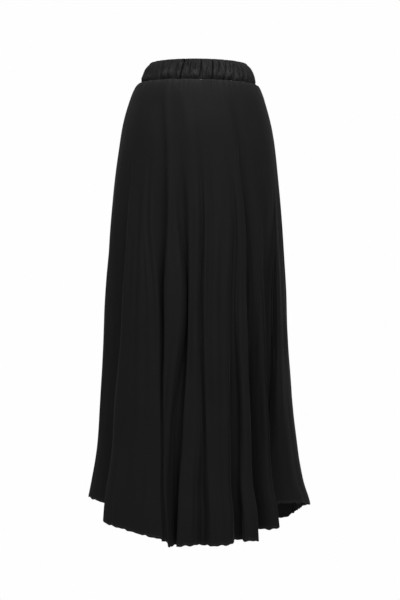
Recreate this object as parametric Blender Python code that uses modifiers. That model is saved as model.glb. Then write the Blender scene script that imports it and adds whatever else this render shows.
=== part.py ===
"""A bias-cut flared skirt with a gathered elastic waistband, hollow, in the shape it hangs in when worn.

Four pieces are cut and sewn: a front and a back panel, joined at the side seams, and a front and a back
half of the waistband. The frame has +X to the right of the picture, -Y to the front and +Z up, and its
origin is the middle of the waist, half way up the band. All lengths are in metres.

Round the body, a place is given by its turn from the middle of the front, in degrees: -90 and 90 are the
side seams and 180 is the middle of the back. Down the skirt, it is a share of the drop: 0 at the waist
seam and 1 at the hem.
"""

import math
from collections import namedtuple

import bmesh
import bpy

MM = 0.001

# ---------------------------------------------------------------- the cloth and its seams
CLOTH_WALL = 1.5 * MM
BAND_WALL = 3.0 * MM        # two layers of cloth with the elastic between them
SEAM_GAP = 0.3 * MM

# Heights of the waist seam and of the band's top edge at the sides. Both dip at the front and on the right.
SEAM_HEIGHT = -19.0 * MM
SEAM_FRONT_DIP = 2.0 * MM
SEAM_ROLL = 2.4 * MM
SEAM_BLEND = 60 * MM        # how far below the seam the outline follows its dip and roll
BAND_TOP_HEIGHT = 22.7 * MM
BAND_TOP_FRONT_DIP = 1.7 * MM
BAND_TOP_ROLL = 1.0 * MM

# ---------------------------------------------------------------- the outline that the folds' crests touch
Section = namedtuple("Section", "height centre half_width front back")
SECTIONS = [Section(*(value * MM for value in row)) for row in (
    # height  centre  half_width  front  back
    (-19, 4.5, 120.1, 91.9, 91.9),
    (-23, 3.9, 125.2, 95.6, 95.2),
    (-28.5, 3.0, 129.8, 99, 98.5),
    (-36, 2.4, 134.2, 102, 102),
    (-52, 2.0, 140.8, 106, 106.5),
    (-94, 1.4, 152.4, 113, 115),
    (-136, 0.8, 160.2, 118, 123),
    (-178, 0.4, 165.6, 121, 128),
    (-262, -0.7, 173.6, 126, 132),
    (-346, -1.8, 180.9, 132, 137),
    (-472, -1.9, 189.0, 143, 148),
    (-598, -1.4, 196.2, 155, 160),
    (-682, -0.6, 201.9, 163, 168),
    (-766, 0.2, 209.4, 173, 178),
    (-808, -0.4, 214.4, 179, 184),
    (-850, -0.4, 222.4, 186, 191),
    (-890, 2.0, 233.0, 194, 199),
    (-960, 4.0, 243.0, 204, 210),
)]

# The band follows the waist, so it narrows upwards. Its lowest edge is drawn in by the seam.
BandSection = namedtuple("BandSection", "share centre half_width half_depth")
BAND_SECTIONS = [BandSection(share, *(value * MM for value in row)) for share, *row in (
    (0.0, 4.5, 119.8, 92.2),
    (0.12, 4.5, 120.0, 92.9),
    (0.3, 4.7, 118.7, 92.0),
    (0.5, 5.0, 116.3, 90.6),
    (0.7, 4.8, 112.9, 89.6),
    (0.85, 4.9, 109.0, 89.0),
    (1.0, 4.6, 102.8, 88.2),
)]

# ---------------------------------------------------------------- the folds
# One row for each crest, edge and valley, in order round the body. The four turns are its places at
# TURN_SHARES of the drop. The depths are how far it lies inside the outline at DEPTH_SHARES, in millimetres.
# Start is the share of the drop where it begins, and hem the height of the cloth's lower edge there, in
# millimetres. The crests are lettered A to G across the front and H to O round the back. Where a valley's
# turn passes that of the crest beside it, the crest overlaps the valley. From the waist to HIP_SHARE of the
# drop a row goes HIP_PART of the way to its first turn.
HIP_SHARE = 0.15
HIP_PART = 0.7
TURN_SHARES = (0.30, 0.50, 0.75, 1.0)
DEPTH_SHARES = TURN_SHARES[1:]
Fold = namedtuple("Fold", "name turn_high turn_mid turn_low turn_hem depth_mid depth_low depth_hem start hem")
FRONT_FOLDS = [
    Fold("left_seam", -90, -90, -90, -90, 0, 7, 16, 0.25, -879),
    Fold("left_crest", -81, -80, -80, -82, -2, -3, -1, 0.25, -881),
    Fold("left_valley", -60, -57, -57, -55, 22, 44, 54, 0.12, -897),
    Fold("a_under", -50.2, -45.5, -47.5, -48, 22, 44, 52, 0.12, -898),
    Fold("a_left", -51, -52.3, -57.5, -57.5, -1, 0, 2, 0.12, -917),
    Fold("a_middle", -40, -38, -38, -38, 0, 0, 1, 0.12, -929),
    Fold("a_right", -35, -27, -22.2, -17.6, 3, 3, 0, 0.10, -943),
    Fold("ab_valley", -26, -22, -20.8, -17.2, 20, 8, 7, 0.05, -946),
    Fold("b_under", -21, -18.3, -19.6, -15.8, 20, 8, 7, 0.05, -948),
    Fold("b_left", -18.7, -19.3, -18.2, -13.8, -2, 0, 2, 0.05, -958),
    Fold("b_right", -13.5, -7, -15.5, -13.5, 4, 8, 10, 0.12, -957),
    Fold("bc_valley", -9.6, -5.4, -11.8, -10.5, 19, 21, 36, 0.10, -956),
    Fold("c_under", -7.5, -2.9, -5.2, -7.2, 19, 21, 36, 0.10, -956),
    Fold("c_left", -4.5, -4.5, -7.7, -11, -2, -2, -2, 0.10, -956),
    Fold("c_right", 2.6, 1.7, 2, -2, -1, -1, 2, 0.10, -953),
    Fold("cd_valley", 4.4, 3.4, 4, 2.5, 8.5, 12, 19, 0.10, -954),
    Fold("d_left", 7, 6.6, 7.5, 7, 0, 0, 0, 0.14, -955),
    Fold("d_right", 22.5, 20.5, 19.5, 16.6, 0, 0, 1, 0.12, -952),
    Fold("de_valley", 26.5, 23.2, 21.8, 20, 9, 19, 28, 0.10, -949),
    Fold("e_under", 28, 25.8, 27.8, 24.8, 9, 19, 28, 0.10, -948),
    Fold("e_left", 28.5, 27, 26.3, 21.8, 0, 0, 0, 0.10, -947),
    Fold("e_right", 34.4, 33.4, 32.6, 31.3, -2, -2, -2, 0.04, -948),
    Fold("f_under", 34, 32.2, 32, 28, 27, 50, 56, 0.04, -937),
    Fold("ef_valley", 37, 39.4, 38.2, 33.3, 29, 52, 60, 0.04, -932),
    Fold("f_left", 43.5, 46.2, 43.6, 39.3, 4, 5, 4, 0.08, -930),
    Fold("f_right", 47.8, 47.6, 45.6, 43.5, -1, -2, -1, 0.10, -924),
    Fold("g_under", 55, 53, 48, 41, 20, 40, 66, 0.24, -895),
    Fold("fg_valley", 69, 67.5, 59, 46, 21, 30, 66, 0.24, -891),
    Fold("g_middle", 71, 65, 58.5, 61, -1, -1, 4, 0.18, -884),
    Fold("right_crest", 83, 82, 83, 87, -1, -2, -5, 0.25, -898),
]
BACK_FOLDS = [
    Fold("right_seam", 89.5, 90, 92, 96, 0, 6, 18, 0.25, -909),
    Fold("h_left", 102, 105, 110.5, 117.5, 0, 0, 1, 0.25, -929),
    Fold("h_right", 112.5, 117, 121.5, 125.5, 1, 2, 1, 0.20, -945),
    Fold("hi_valley", 117.5, 121, 125, 129, 18, 38, 50, 0.12, -949),
    Fold("i_under", 123.5, 128, 132.5, 135, 18, 38, 52, 0.12, -951),
    Fold("i_left", 124, 126, 129, 132, -1, -2, -1, 0.12, -953),
    Fold("i_right", 134.5, 138, 141.5, 144, -1, -2, -1, 0.10, -959),
    Fold("j_under", 135, 136, 137.5, 139, 20, 39, 50, 0.10, -959),
    Fold("ij_valley", 139.5, 141, 142.5, 143, 20, 39, 48, 0.10, -959),
    Fold("j_left", 145.5, 147, 148.5, 149, 1, 2, 1, 0.12, -960),
    Fold("j_right", 155, 158, 161, 163, -1, -1, -1, 0.06, -965),
    Fold("k_under", 156.5, 156.5, 157, 158, 22, 41, 50, 0.06, -965),
    Fold("jk_valley", 160.5, 161, 161.5, 162, 22, 41, 50, 0.06, -965),
    Fold("k_left", 165.5, 166, 167, 168, 2, 3, 2, 0.10, -966),
    Fold("k_right", 174.5, 176, 178, 180, 0, 0, 0, 0.10, -968),
    Fold("kl_valley", 179.5, 180.5, 182, 184.5, 20, 39, 50, 0.08, -967),
    Fold("l_under", 184, 185.5, 187.5, 190, 20, 39, 50, 0.08, -967),
    Fold("l_left", 185, 184, 184, 185.5, -2, -3, -2, 0.08, -967),
    Fold("l_right", 194.5, 195, 196, 197, 0, 0, 1, 0.12, -962),
    Fold("lm_valley", 199.5, 199.5, 200, 201.5, 15, 31, 42, 0.10, -959),
    Fold("m_under", 204, 204.5, 205.5, 206.5, 15, 31, 42, 0.10, -958),
    Fold("m_left", 205, 203.5, 202.5, 203, 0, 0, -1, 0.12, -957),
    Fold("m_right", 215.5, 216, 217, 218, -1, -2, -1, 0.12, -948),
    Fold("n_under", 216.5, 214, 212.5, 213, 21, 40, 50, 0.07, -945),
    Fold("mn_valley", 221, 219, 218, 218, 21, 40, 50, 0.07, -941),
    Fold("n_left", 227, 225, 224.5, 226, 2, 3, 2, 0.12, -934),
    Fold("n_right", 237.5, 237, 237, 238, -1, -2, -1, 0.15, -917),
    Fold("o_under", 239, 235.5, 233, 233, 14, 33, 50, 0.15, -908),
    Fold("no_valley", 243.5, 240.5, 238.5, 238, 14, 33, 50, 0.15, -901),
    Fold("o_left", 250, 247, 245.5, 246, 1, 2, 2, 0.20, -889),
    Fold("o_right", 261, 260, 260.5, 263, 0, 0, -1, 0.25, -867),
]
FOLDS = FRONT_FOLDS + BACK_FOLDS
ROUNDING = 0.4              # how far the tables' curves pass inside their rows: 0 through them, 1 roundest

# The panel's grid: its columns from each row of FOLDS to the next, and its rows from the hem up, closest
# where the skirt curves most.
COLUMNS_PER_FOLD = 3
PANEL_ROWS = (1.0, 0.95, 0.89, 0.82, 0.74, 0.66, 0.58, 0.50, 0.42, 0.34, 0.265, 0.195, 0.135, 0.085, 0.045,
              0.016, 0.0)

# ---------------------------------------------------------------- the gathers of the waistband
# A row for each groove of a half of the band: its turn at the seam and at the top edge, and its depth. The
# cloth puffs out between two grooves. The back half has the front's grooves, turned half round.
Groove = namedtuple("Groove", "turn_seam turn_top depth")
FRONT_GROOVES = [Groove(seam, top, depth * MM) for seam, top, depth in (
    (-90, -90, 2.2),
    (-82, -80, 1.4),
    (-73, -69, 2.0),
    (-66, -61, 1.2),
    (-58, -53, 1.8),
    (-50, -42, 2.8),
    (-41, -33, 1.4),
    (-35, -27, 2.0),
    (-27, -20, 1.2),
    (-20, -13, 3.0),
    (-13, -7, 1.4),
    (-5, -1, 1.2),
    (1, 3, 2.0),
    (7, 8, 1.0),
    (13, 14, 2.8),
    (20, 19, 1.6),
    (27, 25, 2.6),
    (33, 30, 1.6),
    (41, 36, 2.6),
    (50, 44, 1.4),
    (57, 53, 2.0),
    (65, 62, 1.4),
    (74, 72, 1.8),
    (82, 81, 1.4),
)]
COLUMNS_PER_PUFF = 4        # columns of the band's grid from one groove to the next
BAND_ROWS = (0.0, 0.12, 0.36, 0.62, 0.84, 1.0)

# The skirt's own puckers, under the seam.
PUCKER_DEPTH = 1.5 * MM
PUCKER_FADE = 0.05          # share of the drop


def hermite(a, b, slope_a, slope_b, t):
    """The smooth curve from a to b with the given slopes, at t from 0 to 1."""
    return (a * (1 + 2 * t) * (1 - t) ** 2 + slope_a * t * (1 - t) ** 2
            + b * t * t * (3 - 2 * t) - slope_b * t * t * (1 - t))


def along_table(rows, place):
    """The other columns of a table, read smoothly at a place in its first column, flat beyond its ends."""
    keys = [row[0] for row in rows]
    if keys[0] > keys[-1]:
        rows, keys = rows[::-1], keys[::-1]
    place = min(max(place, keys[0]), keys[-1])
    i = max(j for j in range(len(keys) - 1) if keys[j] <= place)
    span = keys[i + 1] - keys[i]

    def slope(j, column):
        low, high = max(j - 1, 0), min(j + 1, len(rows) - 1)
        return (rows[high][column] - rows[low][column]) / (keys[high] - keys[low]) * span

    return [hermite(rows[i][column], rows[i + 1][column], slope(i, column), slope(i + 1, column),
                    (place - keys[i]) / span)
            for column in range(1, len(rows[0]))]


def round_table(rows, u, column, wrap=0):
    """A column of a closed table, read smoothly at place u, counted in rows. A full round adds wrap."""
    count = len(rows)
    i = math.floor(u)
    before, a, b, after = (getattr(rows[j % count], column) + wrap * (j // count)
                           for j in range(i - 1, i + 3))
    t = u - i
    exact = hermite(a, b, (b - before) / 2, (after - a) / 2, t)
    round_one = (before * (1 - t) ** 3 + a * (3 * t ** 3 - 6 * t ** 2 + 4)
                 + b * (3 * (1 - t) ** 3 - 6 * (1 - t) ** 2 + 4) + after * t ** 3) / 6
    return exact + ROUNDING * (round_one - exact)


def inside_outline(x, y, depth):
    """A point of the outline, moved in towards the middle by a depth."""
    keep = 1 - depth / math.hypot(x, y)
    return x * keep, y * keep


# ---------------------------------------------------------------- the skirt's panels
def skirt_point(turn, height, depth):
    below = seam_height(turn) - height
    seam_shift = (SEAM_HEIGHT - seam_height(turn)) * max(0, 1 - below / SEAM_BLEND) ** 2
    centre, half_width, front, back = along_table(SECTIONS, height + seam_shift)
    angle = math.radians(turn)
    reach = front if math.cos(angle) > 0 else back
    x, y = inside_outline(half_width * math.sin(angle), -reach * math.cos(angle), depth)
    return centre + x, y, height


def hem_point(u):
    return skirt_point(round_table(FOLDS, u, "turn_hem", 360), round_table(FOLDS, u, "hem") * MM,
                       round_table(FOLDS, u, "depth_hem") * MM)


def seam_height(turn):
    angle = math.radians(turn)
    front = max(math.cos(angle), 0) ** 2
    return SEAM_HEIGHT - SEAM_FRONT_DIP * front - SEAM_ROLL * math.sin(angle)


def fold_turn(u, drop, waist_turn):
    """The turn of the cloth at place u among the folds, from its turn at the waist through its four others."""
    turns = [round_table(FOLDS, u, column, 360)
             for column in ("turn_high", "turn_mid", "turn_low", "turn_hem")]
    hip_turn = waist_turn + HIP_PART * (turns[0] - waist_turn)
    return along_table([(0.0, waist_turn), (HIP_SHARE, hip_turn), *zip(TURN_SHARES, turns)], drop)[0]


def fold_depth(u, drop):
    """A fold's depth at place u: nothing above its start, then growing through its three depths."""
    start = round_table(FOLDS, u, "start")
    if drop <= start:
        return 0.0
    depths = [round_table(FOLDS, u, column) for column in ("depth_mid", "depth_low", "depth_hem")]
    level_start = (2 * start - DEPTH_SHARES[0], depths[0])
    return along_table([level_start, (start, 0.0), *zip(DEPTH_SHARES, depths)], drop)[0]


class Panel:
    """A panel between two rows of FOLDS, cut evenly: equal widths of hem hang from equal widths of waist."""

    STEPS = 24              # steps from one row to the next, to measure the hem with

    def __init__(self, first, last, turn_from):
        self.first = first
        self.last = last
        self.turn_from = turn_from
        points = [hem_point(first + i / self.STEPS) for i in range((last - first) * self.STEPS + 1)]
        self.hem_lengths = [0.0]
        for a, b in zip(points, points[1:]):
            self.hem_lengths.append(self.hem_lengths[-1] + math.dist(a, b))

    def turn_at_waist(self, u):
        place = (u - self.first) * self.STEPS
        i = min(int(place), len(self.hem_lengths) - 2)
        length = self.hem_lengths[i] + (place - i) * (self.hem_lengths[i + 1] - self.hem_lengths[i])
        return self.turn_from + 180 * length / self.hem_lengths[-1]

    def point(self, u, drop):
        waist_turn = self.turn_at_waist(u)
        top = seam_height(waist_turn) - SEAM_GAP
        height = top + drop * (round_table(FOLDS, u, "hem") * MM - top)
        pucker = PUCKER_DEPTH * groove_at(waist_turn) * max(0, 1 - drop / PUCKER_FADE) ** 2
        return skirt_point(fold_turn(u, drop, waist_turn), height, fold_depth(u, drop) * MM + pucker)


# ---------------------------------------------------------------- the waistband's halves
def band_top_height(turn):
    angle = math.radians(turn)
    return BAND_TOP_HEIGHT - BAND_TOP_FRONT_DIP * math.cos(angle) - BAND_TOP_ROLL * math.sin(angle)


def groove_shape(u):
    """1 in a groove and 0 at the middle of the puff between two."""
    return 1 - math.sin(math.pi * (u - math.floor(u))) ** 0.7


def groove_at(turn):
    """groove_shape along the waist seam, for the panels' puckers, scaled by the groove's depth."""
    turn = (turn + 90) % 180 - 90
    seams = [groove.turn_seam for groove in FRONT_GROOVES] + [90]
    i = max(j for j in range(len(FRONT_GROOVES)) if seams[j] <= turn)
    near = groove_shape((turn - seams[i]) / (seams[i + 1] - seams[i]))
    return near * FRONT_GROOVES[i].depth / max(groove.depth for groove in FRONT_GROOVES)


def band_point(u, share, turn_from):
    seam = round_table(FRONT_GROOVES, u, "turn_seam", 180)
    top = round_table(FRONT_GROOVES, u, "turn_top", 180)
    turn = seam + share * (top - seam) + turn_from + 90
    centre, half_width, half_depth = along_table(BAND_SECTIONS, share)
    angle = math.radians(turn)
    depth = round_table(FRONT_GROOVES, u, "depth") * groove_shape(u)
    x, y = inside_outline(half_width * math.sin(angle), -half_depth * math.cos(angle), depth)
    low = seam_height(turn)
    return centre + x, y, low + share * (band_top_height(turn) - low)


# ---------------------------------------------------------------- making the pieces
def cloth_material(name, colour, roughness):
    material = bpy.data.materials.new(name)
    material.use_nodes = True
    shader = material.node_tree.nodes["Principled BSDF"]
    shader.inputs["Base Color"].default_value = (*colour, 1)
    shader.inputs["Roughness"].default_value = roughness
    shader.inputs["Metallic"].default_value = 0
    return material


def evenly(first, last, steps):
    return [first + (last - first) * i / steps for i in range(steps + 1)]


def with_seam_gap(point_at, across):
    """point_at, with the first and last columns drawn in along the cloth by half the seam gap."""
    ends = {across[0]: across[1], across[-1]: across[-2]}

    def trimmed(u, along):
        point = point_at(u, along)
        if u not in ends:
            return point
        inner = point_at(ends[u], along)
        pull = SEAM_GAP / 2 / math.dist(point, inner)
        return tuple(a + (b - a) * pull for a, b in zip(point, inner))
    return trimmed


def cloth_piece(name, across, along, point_at, wall, material, collection):
    """A sheet of cloth: a grid with its vertices moved to point_at, and a wall on its inner side."""
    point_at = with_seam_gap(point_at, across)
    columns, rows = len(across) - 1, len(along) - 1
    mesh = bpy.data.meshes.new(name)
    grid = bmesh.new()
    bmesh.ops.create_grid(grid, x_segments=columns, y_segments=rows, size=0.5)
    for vertex in grid.verts:
        column = round((vertex.co.x + 0.5) * columns)
        row = round((vertex.co.y + 0.5) * rows)
        vertex.co = point_at(across[column], along[row])
    grid.to_mesh(mesh)
    grid.free()
    mesh.materials.append(material)
    mesh.shade_smooth()
    piece = bpy.data.objects.new(name, mesh)
    collection.objects.link(piece)
    thickness = piece.modifiers.new("Wall", "SOLIDIFY")
    thickness.thickness = wall
    thickness.offset = -1
    thickness.use_even_offset = True
    return piece


def add_panel(name, panel, material, collection):
    across = evenly(panel.first, panel.last, (panel.last - panel.first) * COLUMNS_PER_FOLD)
    cloth_piece(name, across, PANEL_ROWS, panel.point, CLOTH_WALL, material, collection)
    print(f"{name}: hem {panel.hem_lengths[-1]:.3f} m")


def add_band(name, turn_from, material, collection):
    across = evenly(0, len(FRONT_GROOVES), len(FRONT_GROOVES) * COLUMNS_PER_PUFF)
    cloth_piece(name, across, BAND_ROWS, lambda u, share: band_point(u, share, turn_from), BAND_WALL, material,
                collection)


def build():
    for old in list(bpy.data.objects):
        bpy.data.objects.remove(old)
    collection = bpy.data.collections.new("flared_skirt")
    bpy.context.scene.collection.children.link(collection)
    crepe = cloth_material("black_crepe", (0.012, 0.012, 0.012), 0.6)
    casing = cloth_material("black_gathered_crepe", (0.014, 0.014, 0.014), 0.5)
    side = len(FRONT_FOLDS)
    add_panel("skirt_front", Panel(0, side, -90), crepe, collection)
    add_panel("skirt_back", Panel(side, len(FOLDS), 90), crepe, collection)
    add_band("waistband_front", -90, casing, collection)
    add_band("waistband_back", 90, casing, collection)


build()
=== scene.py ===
# %% [markdown]
# # A bias-cut flared skirt
# This lesson dresses a long black skirt: two flared panels that fall in deep folds, a gathered waistband with
# an elastic inside, side seams, a narrow turned hem and its stitching. The skirt was first built as plain
# solids, and the lesson begins by loading them. They show where each piece belongs, and finer cloth then
# takes their place.

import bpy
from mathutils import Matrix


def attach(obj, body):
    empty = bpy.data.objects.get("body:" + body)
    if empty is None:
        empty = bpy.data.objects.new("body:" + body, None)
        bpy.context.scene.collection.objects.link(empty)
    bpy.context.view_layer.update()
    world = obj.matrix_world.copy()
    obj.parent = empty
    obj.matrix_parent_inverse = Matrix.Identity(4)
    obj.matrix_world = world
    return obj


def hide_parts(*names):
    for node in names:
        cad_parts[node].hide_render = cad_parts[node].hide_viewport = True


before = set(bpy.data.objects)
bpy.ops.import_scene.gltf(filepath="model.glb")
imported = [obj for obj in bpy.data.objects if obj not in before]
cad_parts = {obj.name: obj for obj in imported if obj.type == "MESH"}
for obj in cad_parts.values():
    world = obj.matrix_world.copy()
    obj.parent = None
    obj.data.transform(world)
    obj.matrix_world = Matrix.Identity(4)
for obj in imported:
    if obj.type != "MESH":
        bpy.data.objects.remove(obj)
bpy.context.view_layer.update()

# %% [markdown]
# ## The camera
# The skirt is looked at straight from the front, from three metres away, with the lens at the height of its
# middle. A long lens keeps the sides upright, as in a catalogue picture.

# %% The camera
import math

import bpy

scene = bpy.context.scene
bpy.ops.object.camera_add(location=(0.0078, -3.0, -0.4719), rotation=(math.radians(90), 0, 0))
camera = bpy.context.object
camera.name = "front_camera"
camera.data.lens = 85.7
camera.data.sensor_width = 36
scene.camera = camera
print("camera at", tuple(round(value, 3) for value in camera.location))

# %% [markdown]
# ## Reading a table smoothly
# A garment is measured at a few heights and folds, and the cloth runs smoothly between them. Two helpers
# read such short tables. One follows a table from top to bottom. The other goes round a closed table, so
# that the last fold runs into the first, and passes a little inside its rows to keep each fold round.

# %% Helpers that read the tables
MM = 0.001
ROUNDING = 0.4


def hermite(a, b, slope_a, slope_b, t):
    """The smooth curve from a to b with the given slopes, at t from 0 to 1."""
    return (a * (1 + 2 * t) * (1 - t) ** 2 + slope_a * t * (1 - t) ** 2
            + b * t * t * (3 - 2 * t) - slope_b * t * t * (1 - t))


def along_table(rows, place):
    """The other columns of a table, read smoothly at a place in its first column, flat beyond its ends."""
    keys = [row[0] for row in rows]
    if keys[0] > keys[-1]:
        rows, keys = rows[::-1], keys[::-1]
    place = min(max(place, keys[0]), keys[-1])
    i = max(j for j in range(len(keys) - 1) if keys[j] <= place)
    span = keys[i + 1] - keys[i]

    def slope(j, column):
        low, high = max(j - 1, 0), min(j + 1, len(rows) - 1)
        return (rows[high][column] - rows[low][column]) / (keys[high] - keys[low]) * span

    return [hermite(rows[i][column], rows[i + 1][column], slope(i, column), slope(i + 1, column),
                    (place - keys[i]) / span)
            for column in range(1, len(rows[0]))]


def round_table(rows, u, column, wrap=0):
    """A column of a closed table, read smoothly at place u, counted in rows. A full round adds wrap."""
    count = len(rows)
    i = math.floor(u)
    before, a, b, after = (getattr(rows[j % count], column) + wrap * (j // count)
                           for j in range(i - 1, i + 3))
    t = u - i
    exact = hermite(a, b, (b - before) / 2, (after - a) / 2, t)
    round_one = (before * (1 - t) ** 3 + a * (3 * t ** 3 - 6 * t ** 2 + 4)
                 + b * (3 * (1 - t) ** 3 - 6 * (1 - t) ** 2 + 4) + after * t ** 3) / 6
    return exact + ROUNDING * (round_one - exact)


print("half way from 2 to 4:", hermite(2, 4, 2, 2, 0.5))

# %% [markdown]
# ## The outline
# The skirt is smooth over the hips and then flares to the hem. Each row of this table is an oval cut through
# it at one height: where its middle lies, half its width, and how far it reaches to the front and the back.
# The crests of the folds touch these ovals, and everything else lies inside them.

# %% The ovals that the crests touch
from collections import namedtuple

Section = namedtuple("Section", "height centre half_width front back")
SECTIONS = [Section(*(value * MM for value in row)) for row in (
    # height  centre  half_width  front  back
    (-19, 4.5, 120.1, 91.9, 91.9),
    (-23, 3.9, 125.2, 95.6, 95.2),
    (-28.5, 3.0, 129.8, 99, 98.5),
    (-36, 2.4, 134.2, 102, 102),
    (-52, 2.0, 140.8, 106, 106.5),
    (-94, 1.4, 152.4, 113, 115),
    (-136, 0.8, 160.2, 118, 123),
    (-178, 0.4, 165.6, 121, 128),
    (-262, -0.7, 173.6, 126, 132),
    (-346, -1.8, 180.9, 132, 137),
    (-472, -1.9, 189.0, 143, 148),
    (-598, -1.4, 196.2, 155, 160),
    (-682, -0.6, 201.9, 163, 168),
    (-766, 0.2, 209.4, 173, 178),
    (-808, -0.4, 214.4, 179, 184),
    (-850, -0.4, 222.4, 186, 191),
    (-890, 2.0, 233.0, 194, 199),
    (-960, 4.0, 243.0, 204, 210),
)]


def inside_outline(x, y, depth):
    """A point of the outline, moved in towards the middle by a depth."""
    keep = 1 - depth / math.hypot(x, y)
    return x * keep, y * keep


print("hips", round(2000 * SECTIONS[5].half_width), "mm wide, hem", round(2000 * SECTIONS[-1].half_width))

# %% [markdown]
# ## The waist seam
# The panels are sewn to the waistband along a line that isn't quite level: it dips at the front and on one
# side, as a worn waistband does. The outline just under the seam follows it.

# %% Where the waist seam runs
SEAM_HEIGHT = -19.0 * MM
SEAM_FRONT_DIP = 2.0 * MM
SEAM_ROLL = 2.4 * MM
SEAM_BLEND = 60 * MM


def seam_height(turn):
    angle = math.radians(turn)
    front = max(math.cos(angle), 0) ** 2
    return SEAM_HEIGHT - SEAM_FRONT_DIP * front - SEAM_ROLL * math.sin(angle)


def skirt_point(turn, height, depth):
    """The point of the cloth at a turn in degrees from the middle of the front, a height and a depth."""
    below = seam_height(turn) - height
    seam_shift = (SEAM_HEIGHT - seam_height(turn)) * max(0, 1 - below / SEAM_BLEND) ** 2
    centre, half_width, front, back = along_table(SECTIONS, height + seam_shift)
    angle = math.radians(turn)
    reach = front if math.cos(angle) > 0 else back
    x, y = inside_outline(half_width * math.sin(angle), -reach * math.cos(angle), depth)
    return centre + x, y, height


print("the seam is at z =", round(seam_height(0) / MM, 1), "mm at the front and",
      round(seam_height(180) / MM, 1), "mm at the back")

# %% [markdown]
# ## The folds
# Cloth cut on the bias hangs in folds like organ pipes. A fold has a crest, an edge and a valley beside it,
# and where it is deep the crest leans over the valley. Each row here is one of those lines. It says where
# the line lies at four shares of the drop, how deep it is half way, lower down and at the hem, where it
# begins and how low the hem hangs. Over the hips, down to HIP_SHARE of the drop, a line goes HIP_PART of the
# way from its place at the waist to its first one here. A cloth simulation could find such folds by itself,
# but never these ones, so they are listed one by one.

# %% The folds of the front
HIP_SHARE, HIP_PART = 0.15, 0.7
TURN_SHARES = (0.30, 0.50, 0.75, 1.0)
DEPTH_SHARES = TURN_SHARES[1:]
Fold = namedtuple("Fold", "name turn_high turn_mid turn_low turn_hem depth_mid depth_low depth_hem start hem")
FRONT_FOLDS = [
    Fold("left_seam", -90, -90, -90, -90, 0, 7, 16, 0.25, -879),
    Fold("left_crest", -81, -80, -80, -82, -2, -3, -1, 0.25, -881),
    Fold("left_valley", -60, -57, -57, -55, 22, 44, 54, 0.12, -897),
    Fold("a_under", -50.2, -45.5, -47.5, -48, 22, 44, 52, 0.12, -898),
    Fold("a_left", -51, -52.3, -57.5, -57.5, -1, 0, 2, 0.12, -917),
    Fold("a_middle", -40, -38, -38, -38, 0, 0, 1, 0.12, -929),
    Fold("a_right", -35, -27, -22.2, -17.6, 3, 3, 0, 0.10, -943),
    Fold("ab_valley", -26, -22, -20.8, -17.2, 20, 8, 7, 0.05, -946),
    Fold("b_under", -21, -18.3, -19.6, -15.8, 20, 8, 7, 0.05, -948),
    Fold("b_left", -18.7, -19.3, -18.2, -13.8, -2, 0, 2, 0.05, -958),
    Fold("b_right", -13.5, -7, -15.5, -13.5, 4, 8, 10, 0.12, -957),
    Fold("bc_valley", -9.6, -5.4, -11.8, -10.5, 19, 21, 36, 0.10, -956),
    Fold("c_under", -7.5, -2.9, -5.2, -7.2, 19, 21, 36, 0.10, -956),
    Fold("c_left", -4.5, -4.5, -7.7, -11, -2, -2, -2, 0.10, -956),
    Fold("c_right", 2.6, 1.7, 2, -2, -1, -1, 2, 0.10, -953),
    Fold("cd_valley", 4.4, 3.4, 4, 2.5, 8.5, 12, 19, 0.10, -954),
    Fold("d_left", 7, 6.6, 7.5, 7, 0, 0, 0, 0.14, -955),
    Fold("d_right", 22.5, 20.5, 19.5, 16.6, 0, 0, 1, 0.12, -952),
    Fold("de_valley", 26.5, 23.2, 21.8, 20, 9, 19, 28, 0.10, -949),
    Fold("e_under", 28, 25.8, 27.8, 24.8, 9, 19, 28, 0.10, -948),
    Fold("e_left", 28.5, 27, 26.3, 21.8, 0, 0, 0, 0.10, -947),
    Fold("e_right", 34.4, 33.4, 32.6, 31.3, -2, -2, -2, 0.04, -948),
    Fold("f_under", 34, 32.2, 32, 28, 27, 50, 56, 0.04, -937),
    Fold("ef_valley", 37, 39.4, 38.2, 33.3, 29, 52, 60, 0.04, -932),
    Fold("f_left", 43.5, 46.2, 43.6, 39.3, 4, 5, 4, 0.08, -930),
    Fold("f_right", 47.8, 47.6, 45.6, 43.5, -1, -2, -1, 0.10, -924),
    Fold("g_under", 55, 53, 48, 41, 20, 40, 66, 0.24, -895),
    Fold("fg_valley", 69, 67.5, 59, 46, 21, 30, 66, 0.24, -891),
    Fold("g_middle", 71, 65, 58.5, 61, -1, -1, 4, 0.18, -884),
    Fold("right_crest", 83, 82, 83, 87, -1, -2, -5, 0.25, -898),
]
print(len(FRONT_FOLDS), "lines of folds across the front")

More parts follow.
